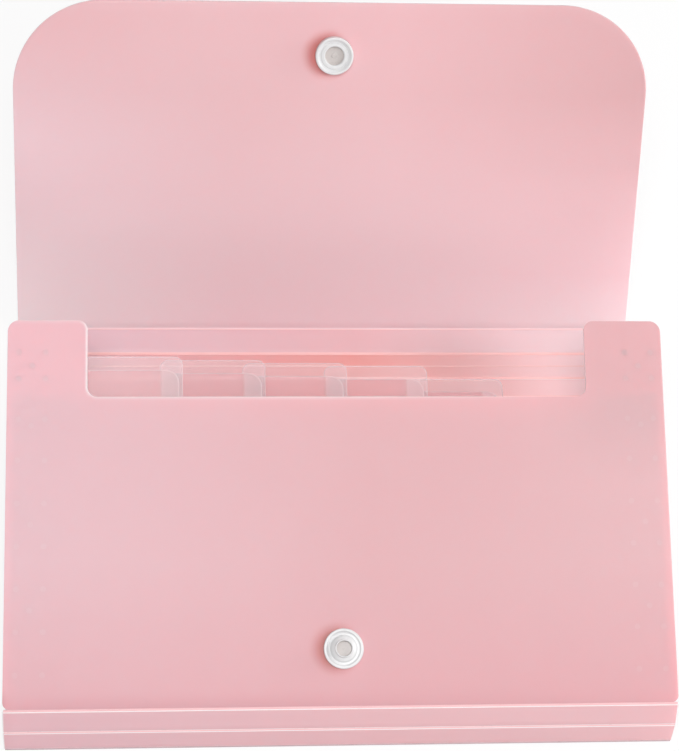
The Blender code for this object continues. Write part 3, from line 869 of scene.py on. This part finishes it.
class WALLET_OT_dividers(Operator):
    """Make the six dividers with their ledges and clear index tabs"""

    bl_idname = "wallet.dividers"
    bl_label = "Dividers and Tabs"

    def execute(self, context):
        sizes = context.scene.wallet_leaves
        cover = context.scene.wallet_sheets
        for number in range(1, divider_count + 1):
            body = f"divider_{number}"
            top = divider_height(sizes, cover, number) - fan_axis[1] + sizes.thickness
            middle = sizes.tab_pitch * (number - (divider_count + 1) / 2)
            settle(self.divider(sizes, cover, number, middle, top), body, body)
            tab = self.tab(sizes, number, middle, top + seat_gap + sizes.tab_thickness)
            settle(tab, body, f"index_tab_{number}")
        return {"FINISHED"}

    def divider(self, sizes, cover, number, middle, top):
        """A sheet with a ledge for its tab. The ledge's foot is filleted, and its corners are rounded. The
        rim attribute is 1 on the ledge's free edge, doubled where a neighbour's tab overlaps it, and clear
        where the ledge lets light through."""
        half = cover.width / 2 - sizes.side_inset
        outer, fillet, ledge_corner = 3 * mm, 2.2 * mm, 3.8 * mm
        rim_width, doubled_width, rim_cover, doubled_cover = 0.4 * mm, 0.5 * mm, 0.6, 0.3
        first = fan_reach(sizes.start)
        last = fan_reach(sizes.start + sizes.body_length)
        ledge_half = sizes.tab_width / 2 - ledge_side_inset
        ledge_top = last - tab_root + sizes.tab_height - ledge_top_inset
        left, right = middle - ledge_half, middle + ledge_half
        seam = last + fillet
        patches = []
        for start, end, corners in ((-half, left, (outer, fillet)), (right, half, (fillet, outer))):
            across = across_sheet(start, end, *corners, counts=(8, 20, 8))
            away = (across - start, end - across)
            corner, foot = away if start < left else reversed(away)
            high = last - corner_drop(corner, outer) + corner_drop(foot, fillet)
            patches.append(ruled(across, first, high, rows=24))
        across = across_sheet(left, right, ledge_corner, ledge_corner, counts=(12, 44, 12))
        patches.append(ruled(across, first, seam, rows=24))
        top_edge = ledge_top - corner_drop(ledge_half - np.abs(across - middle), ledge_corner)
        patches.append(ruled(across, seam, top_edge, rows=16, closing=True))
        rise = swing[f"divider_{number}"]
        made = make_sheet(
            f"divider_sheet_{number}", patches, fan_axis, rise, top, sizes.thickness,
            ("frosted_divider", "divider_cut_edge"),
        )
        x, y = own_places(made, fan_axis, rise)
        away = from_corner(ledge_half - np.abs(x - middle), ledge_top - y, ledge_corner)
        on_ledge = np.clip((y - last) / fillet, 0, 1)
        rim = np.clip(1 - away / rim_width, 0, 1) * on_ledge
        overlap = np.abs(x - middle) - (sizes.tab_pitch - sizes.tab_width / 2)
        has_neighbour = (number < divider_count) * (x > middle) + (number > 1) * (x < middle)
        doubled = np.clip(overlap / doubled_width, 0, 1) * on_ledge * has_neighbour
        mark(made, "rim", rim)
        mark(made, "doubled", doubled)
        mark(made, "clear", on_ledge * (1 - rim_cover * rim) * (1 - doubled_cover * doubled))
        return made

    def tab(self, sizes, number, middle, top):
        """A clear tab, straight at its foot and rounded at its two free corners. Its rim attribute is 1 on
        the free edge and 0 from one rim width inwards."""
        half, radius, rim_width = sizes.tab_width / 2, 2.4 * mm, 0.35 * mm
        first = fan_reach(sizes.start + sizes.body_length) - tab_root
        last = first + sizes.tab_height
        across = across_sheet(middle - half, middle + half, radius, radius, counts=(16, 14, 16))
        high = last - corner_drop(half - np.abs(across - middle), radius)
        rise = swing[f"divider_{number}"]
        patch = ruled(across, first, high, rows=36, closing=True)
        made = make_sheet(
            f"clear_tab_{number}", [patch], fan_axis, rise, top, sizes.tab_thickness,
            ("clear_tab", "clear_tab"),
        )
        x, y = own_places(made, fan_axis, rise)
        away = from_corner(half - np.abs(x - middle), last - y, radius)
        mark(made, "rim", np.clip(1 - away / rim_width, 0, 1))
        return made


def divider_height(sizes, cover, number):
    """Closed height of a divider's lower face: the back panel, then a gap and a sheet for each leaf below."""
    below = divider_count - number
    return cover.thickness + sizes.pocket_gap * (below + 1) + sizes.thickness * below


class WALLET_OT_pleats(Operator):
    """Make the pleats that close each pocket at its left and right"""

    bl_idname = "wallet.pleats"
    bl_label = "Pleats"

    def execute(self, context):
        sizes = context.scene.wallet_leaves
        cover = context.scene.wallet_sheets
        for pocket in range(1, pocket_count + 1):
            at_back = pocket == pocket_count
            below = "back" if at_back else f"divider_{pocket}"
            above = "front" if pocket == 1 else f"divider_{pocket - 1}"
            low = cover.thickness if at_back else divider_height(sizes, cover, pocket) + sizes.thickness
            high = cover.front_height if pocket == 1 else divider_height(sizes, cover, pocket - 1)
            for side, sign in (("left", -1), ("right", 1)):
                made, start, end = self.pleat(
                    f"pleat_{side}_{pocket}", sizes, cover, sign, low, swing[below], high, swing[above]
                )
                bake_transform(made)
                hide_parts(f"gusset_{side}_{pocket}")
        return {"FINISHED"}

    def pleat(self, name, sizes, cover, sign, low, low_swing, high, high_swing):
        """One pleat: a flange on the lower sheet, a leg in to the fold halfway between the two sheets, a leg
        out again and a flange on the upper sheet. Only the fold lies halfway."""
        side_inset, flange, skin_gap, turn_span = 2 * mm, 1.6 * mm, 0.1 * mm, 0.25 * mm
        start, past_body = 7 * mm, 2.8 * mm
        outer = cover.width / 2 - side_inset
        inner = outer - sizes.pleat_depth
        along = np.linspace(fan_reach(start), fan_reach(sizes.start + sizes.body_length + past_body), 41)
        skin = sizes.pleat_thickness / 2 + skin_gap
        lower, upper = (
            laid(np.zeros_like(along), along, np.full_like(along, height - fan_axis[1]), fan_axis, angle)
            for height, angle in ((low, low_swing), (high, high_swing))
        )
        rise = upper - lower
        reach = rise / np.linalg.norm(rise, axis=1)[:, None]
        on_low, on_high, fold = lower + reach * skin, upper - reach * skin, (lower + upper) / 2
        across = (outer - flange, outer, inner, outer, outer - flange)
        points = np.stack((on_low, on_low, fold, on_high, on_high))
        points[:, :, 0] = sign * np.array(across)[:, None]
        faces = grid_faces(5, len(along))
        if sign > 0:
            faces = faces[:, ::-1]
        made = make_piece(name, points.reshape(-1, 3), faces, ("pleated_film",), smooth=False)
        shell = made.modifiers.new("Film thickness", "SOLIDIFY")
        shell.thickness = sizes.pleat_thickness
        shell.offset = 0
        run = fold[-1] - fold[0]
        square = np.array((0, -run[2], run[1])) / np.linalg.norm(run)
        middle = fold.mean(axis=0)
        return made, tuple(middle - square * turn_span), tuple(middle + square * turn_span)


class WALLET_OT_snap(Operator):
    """Make the four moulded pieces of the press snap"""

    bl_idname = "wallet.snap"
    bl_label = "Press Snap"

    def execute(self, context):
        sizes = context.scene.wallet_snap
        cover = context.scene.wallet_sheets
        sheet, radius = cover.thickness, sizes.radius
        front_low = cover.front_height - fan_axis[1]
        on_flap = (flap_crease, cover.flap_rise, sizes.flap_place)
        on_front = (fan_axis, swing["front"], fan_reach(cover.front_start + sizes.front_place))
        socket, stud, cap = self.socket(radius), self.stud(radius), self.cap(sheet, radius)
        socket_mouth, stud_dish = 2.68 * mm, 2.08 * mm
        # The second finish paints shade inside the socket's mouth and the stud's dish
        finishes = ("white_snap", "snap_recess")
        # Each piece's name, body, node, profile, way up, base, recess and seat on its sheet
        for name, body, node, profile, up, base, recess, (place, rise, along) in (
            ("snap_socket", "flap", "flap_snap_socket", socket, 1, 0.0, socket_mouth, on_flap),
            ("snap_cap_flap", "flap", "flap_snap_cap", cap, -1, -sheet, 0.0, on_flap),
            ("snap_stud", "front", "front_snap_stud", stud, 1, front_low + sheet, stud_dish, on_front),
            ("snap_cap_front", "front", "front_snap_cap", cap, -1, front_low, 0.0, on_front),
        ):
            shifted = profile + np.array((0, base * up))
            made = turned(name, shifted, place, rise, along, up, sizes.steps, finishes, recess)
            settle(made, body, node)
        return {"FINISHED"}

    def socket(self, radius):
        """From the underside out to the rim, over it, across the grooved ring and down into the mouth, where
        a low nub stands in the middle."""
        seat, top = seat_gap, seat_gap + 2 * mm
        return eased(
            [
                (0, seat, 0),
                (radius, seat, 0.1 * mm),
                (radius, top, 0.4 * mm),
                (radius - 0.75 * mm, top, 0.25 * mm),
                (radius - 0.95 * mm, top - 0.45 * mm, 0.15 * mm),
                (4.3 * mm, top - 0.45 * mm, 0.08 * mm),
                (4.2 * mm, top - 0.75 * mm, 0.05 * mm),
                (3.9 * mm, top - 0.75 * mm, 0.05 * mm),
                (3.8 * mm, top - 0.4 * mm, 0.08 * mm),
                (2.95 * mm, top - 0.25 * mm, 0.2 * mm),
                (2.7 * mm, top - 0.6 * mm, 0.15 * mm),
                (2.65 * mm, seat + 0.5 * mm, 0.15 * mm),
                (0.85 * mm, seat + 0.5 * mm, 0.1 * mm),
                (0.7 * mm, seat + 0.75 * mm, 0.12 * mm),
                (0, seat + 0.8 * mm, 0),
            ]
        )

    def stud(self, radius):
        """From the underside out to the rim, over it, down into the groove, up the knob and into its dish."""
        seat, rim = seat_gap, seat_gap + 0.9 * mm
        return eased(
            [
                (0, seat, 0),
                (radius, seat, 0.1 * mm),
                (radius, rim, 0.35 * mm),
                (radius - 0.8 * mm, rim, 0.25 * mm),
                (4.5 * mm, seat + 0.4 * mm, 0.2 * mm),
                (3.75 * mm, seat + 0.35 * mm, 0.15 * mm),
                (3.45 * mm, seat + 0.95 * mm, 0.2 * mm),
                (3.2 * mm, seat + 1.15 * mm, 0.15 * mm),
                (2.55 * mm, seat + 1.45 * mm, 0.1 * mm),
                (2.5 * mm, seat + 2.6 * mm, 0.25 * mm),
                (2.15 * mm, seat + 2.6 * mm, 0.15 * mm),
                (2.05 * mm, seat + 0.9 * mm, 0.2 * mm),
                (0, seat + 0.85 * mm, 0),
            ]
        )

    def cap(self, sheet, radius):
        """From the tip of the post along the sheet and over the rim to the middle of the cap's low dome."""
        seat, tip = seat_gap, -sheet - seat_gap / 2
        return eased(
            [
                (0, tip, 0),
                (1.9 * mm, tip, 0.1 * mm),
                (1.9 * mm, seat, 0.05 * mm),
                (radius, seat, 0.1 * mm),
                (radius, seat + 0.45 * mm, 0.2 * mm),
                (radius - 0.35 * mm, seat + 0.55 * mm, 0.2 * mm),
                (radius / 2, seat + 0.6 * mm, 0.3 * mm),
                (0, seat + 0.6 * mm, 0),
            ]
        )


class WALLET_OT_welds(Operator):
    """Make the small weld dots that hold the pleats to the front and back panels"""

    bl_idname = "wallet.welds"
    bl_label = "Weld Dots"

    def execute(self, context):
        cover = context.scene.wallet_sheets
        half = cover.width / 2
        rows = np.array((102.8, 95.3, 83.8, 72.4, 60.4, 48.6, 37.0, 25.4, 13.8)) * mm
        between = np.array((99.0, 82.1, 54.6, 31.2)) * mm
        spots = np.concatenate(
            [
                np.stack((np.full(len(along), sign * (half - inset)), along), -1)
                for sign in (-1, 1)
                for inset, along in ((3.2 * mm, rows), (10.6 * mm, rows), (6.9 * mm, between))
            ]
        )
        outer_face = cover.front_height - fan_axis[1] + cover.thickness
        for name, body, rise, height, up, bowed in (
            ("weld_dots_front", "front", swing["front"], outer_face, 1, cover),
            ("weld_dots_back", "back", 0.0, -fan_axis[1], -1, None),
        ):
            settle(self.dots(name, spots, rise, height, up, bowed), body)
        return {"FINISHED"}

    def dots(self, name, spots, rise, height, up, bowed):
        """Low domes on a sheet: z = h (1 - s^2) - f out to the radius, s from 0 to 1, repeated at each spot,
        with their foot f under the sheet's face. They follow the front panel's bow if its sizes are given."""
        radius, crown, foot = 0.95 * mm, 0.02 * mm, 0.005 * mm
        share, turn = np.linspace(0, 1, 4), np.linspace(0, 2 * math.pi, 16, endpoint=False)
        x = np.cos(turn)[:, None] * (radius * share) + spots[:, 0, None, None]
        y = np.sin(turn)[:, None] * (radius * share) + fan_reach(0) + spots[:, 1, None, None]
        z = height + up * (crown * (1 - share**2) - foot) + (front_bow(bowed, x, y) if bowed else 0 * x)
        faces = np.concatenate(
            [grid_faces(len(turn), len(share), index * x[0].size, wrap=True) for index in range(len(spots))]
        )
        if up > 0:
            faces = faces[:, ::-1]
        points, quads = welded(laid(x.ravel(), y.ravel(), z.ravel(), fan_axis, rise), faces)
        return make_piece(name, points, quads, ("weld_dot",))


# Where the lamps face, and the floor, which stays clear of the back panel
wallet_middle = (0, 0.04, 0.02)
floor_height = -0.02 * mm


class WALLET_OT_stage(Operator):
    """Make the pale floor, the soft lamps, the white surround and the camera"""

    bl_idname = "wallet.stage"
    bl_label = "Stage"

    def execute(self, context):
        self.floor()
        self.surround(context.scene)
        settings = context.scene.wallet_stage
        # Each lamp's name, place, power and size
        for lamp in (
            ("key_lamp", (0.6, -0.12, 0.5), settings.key_power, 0.16),
            ("fill_lamp", (-0.08, -0.17, 0.9), settings.fill_power, 0.35),
            ("side_lamp", (0.5, 0.12, 0.2), settings.side_power, 0.2),
            ("front_lamp", (0.1, -0.75, 0.12), settings.front_power, 0.3),
        ):
            self.lamp(*lamp)
        self.camera(context.scene)
        context.scene.view_settings.view_transform = "Standard"
        return {"FINISHED"}

    def floor(self):
        """A flat grid just under the table's plane, z = 0."""
        reach, steps = 1.5, 9
        across = np.linspace(-reach, reach, steps)
        x, y = np.meshgrid(across, across, indexing="ij")
        points = np.stack((x, y, np.full_like(x, floor_height)), -1).reshape(-1, 3)
        made = make_piece("floor", points, grid_faces(steps, steps), ("pale_floor",))

    def surround(self, scene):
        """A soft even surround that lights the wallet, and plain white to the camera and to reflections."""
        world = bpy.data.worlds.new("white_surround")
        scene.world = world
        world.use_nodes = True
        nodes = world.node_tree.nodes
        nodes.clear()
        path = nodes.new("ShaderNodeLightPath").outputs
        seen = combined(world.node_tree, "MAXIMUM", path["Is Camera Ray"], path["Is Glossy Ray"])
        share = combined(world.node_tree, "MAXIMUM", seen, path["Is Transmission Ray"])
        skies = []
        for strength_of in (scene.wallet_stage.surround, 1.0):
            sky = nodes.new("ShaderNodeBackground")
            sky.inputs["Color"].default_value = (1, 1, 1, 1)
            sky.inputs["Strength"].default_value = strength_of
            skies.append(sky.outputs[0])
        mixed(world.node_tree, share, *skies, nodes.new("ShaderNodeOutputWorld"))

    def lamp(self, name, place, power, size):
        """A square soft lamp that faces the wallet's middle."""
        data = bpy.data.lights.new(name, "AREA")
        data.energy = power
        data.size = size
        made = bpy.data.objects.new(name, data)
        made.location = place
        x, y, z = np.array(place) - np.array(wallet_middle)
        made.rotation_euler = (math.atan2(math.hypot(x, y), z), 0, math.atan2(x, -y))
        bpy.context.scene.collection.objects.link(made)

    def camera(self, scene):
        """A long lens above the wallet's bottom edge, looking down on the open pockets."""
        settings = scene.wallet_stage
        data = bpy.data.cameras.new("camera")
        data.sensor_width = 36
        data.lens = settings.lens
        data.shift_x, data.shift_y = settings.shift_right, -settings.shift_down
        data.clip_start, data.clip_end = 0.05, 20
        made = bpy.data.objects.new("camera", data)
        made.location = settings.camera_place
        made.rotation_euler = settings.camera_turn
        scene.collection.objects.link(made)
        scene.camera = made


class WalletStage(PropertyGroup):
    key_power: strength("Key lamp", "Power of the lamp on the right", 1.35)
    fill_power: strength("Fill lamp", "Power of the broad lamp above", 3.9)
    side_power: strength("Side lamp", "Power of the low lamp at the right", 1.0)
    front_power: strength("Front lamp", "Power of the low lamp in front", 0.85)
    surround: strength("Surround", "Strength of the even light", 0.29)
    lens: FloatProperty(name="Lens", description="Focal length in millimetres", default=98.6, min=10)
    shift_right: FloatProperty(name="Shift right", description="Lens shift to the right", default=0.0585)
    shift_down: FloatProperty(name="Shift down", description="Lens shift downwards", default=0.06)
    camera_place: FloatVectorProperty(
        name="Camera place", description="Where the camera stands", default=(-0.0543, -0.1995, 0.5597),
        subtype="TRANSLATION", unit="LENGTH",
    )
    camera_turn: FloatVectorProperty(
        name="Camera turn", description="How the camera is turned", default=(0.4521, -0.0663, -0.0308),
        subtype="EULER", unit="ROTATION",
    )


makers = (
    WALLET_OT_cover,
    WALLET_OT_creases,
    WALLET_OT_dividers,
    WALLET_OT_pleats,
    WALLET_OT_snap,
    WALLET_OT_welds,
    WALLET_OT_stage,
)


class WALLET_PT_sidebar(Panel):
    """The wallet's pieces and settings"""

    bl_idname = "WALLET_PT_sidebar"
    bl_label = "Expanding File Wallet"
    bl_space_type = "VIEW_3D"
    bl_region_type = "UI"
    bl_category = "Wallet"

    def draw(self, context):
        for group in settings_groups:
            box = self.layout.box()
            for key in group.__annotations__:
                box.prop(getattr(context.scene, settings_groups[group]), key)
        for maker in makers:
            self.layout.operator(maker.bl_idname)


settings_groups = {
    WalletSheets: "wallet_sheets",
    WalletLeaves: "wallet_leaves",
    WalletSnap: "wallet_snap",
    WalletColours: "wallet_colours",
    WalletStage: "wallet_stage",
}


def register():
    for group, name in settings_groups.items():
        bpy.utils.register_class(group)
        setattr(bpy.types.Scene, name, PointerProperty(type=group))
    for maker in (*makers, WALLET_PT_sidebar):
        bpy.utils.register_class(maker)


def unregister():
    for maker in (WALLET_PT_sidebar, *reversed(makers)):
        bpy.utils.unregister_class(maker)
    for group, name in reversed(settings_groups.items()):
        delattr(bpy.types.Scene, name)
        bpy.utils.unregister_class(group)


def main():
    register()
    bpy.ops.wallet.cover()
    bpy.ops.wallet.creases()
    bpy.ops.wallet.dividers()
    bpy.ops.wallet.pleats()
    bpy.ops.wallet.snap()
    bpy.ops.wallet.welds()
    bpy.ops.wallet.stage()


if __name__ == "__main__":
    main()
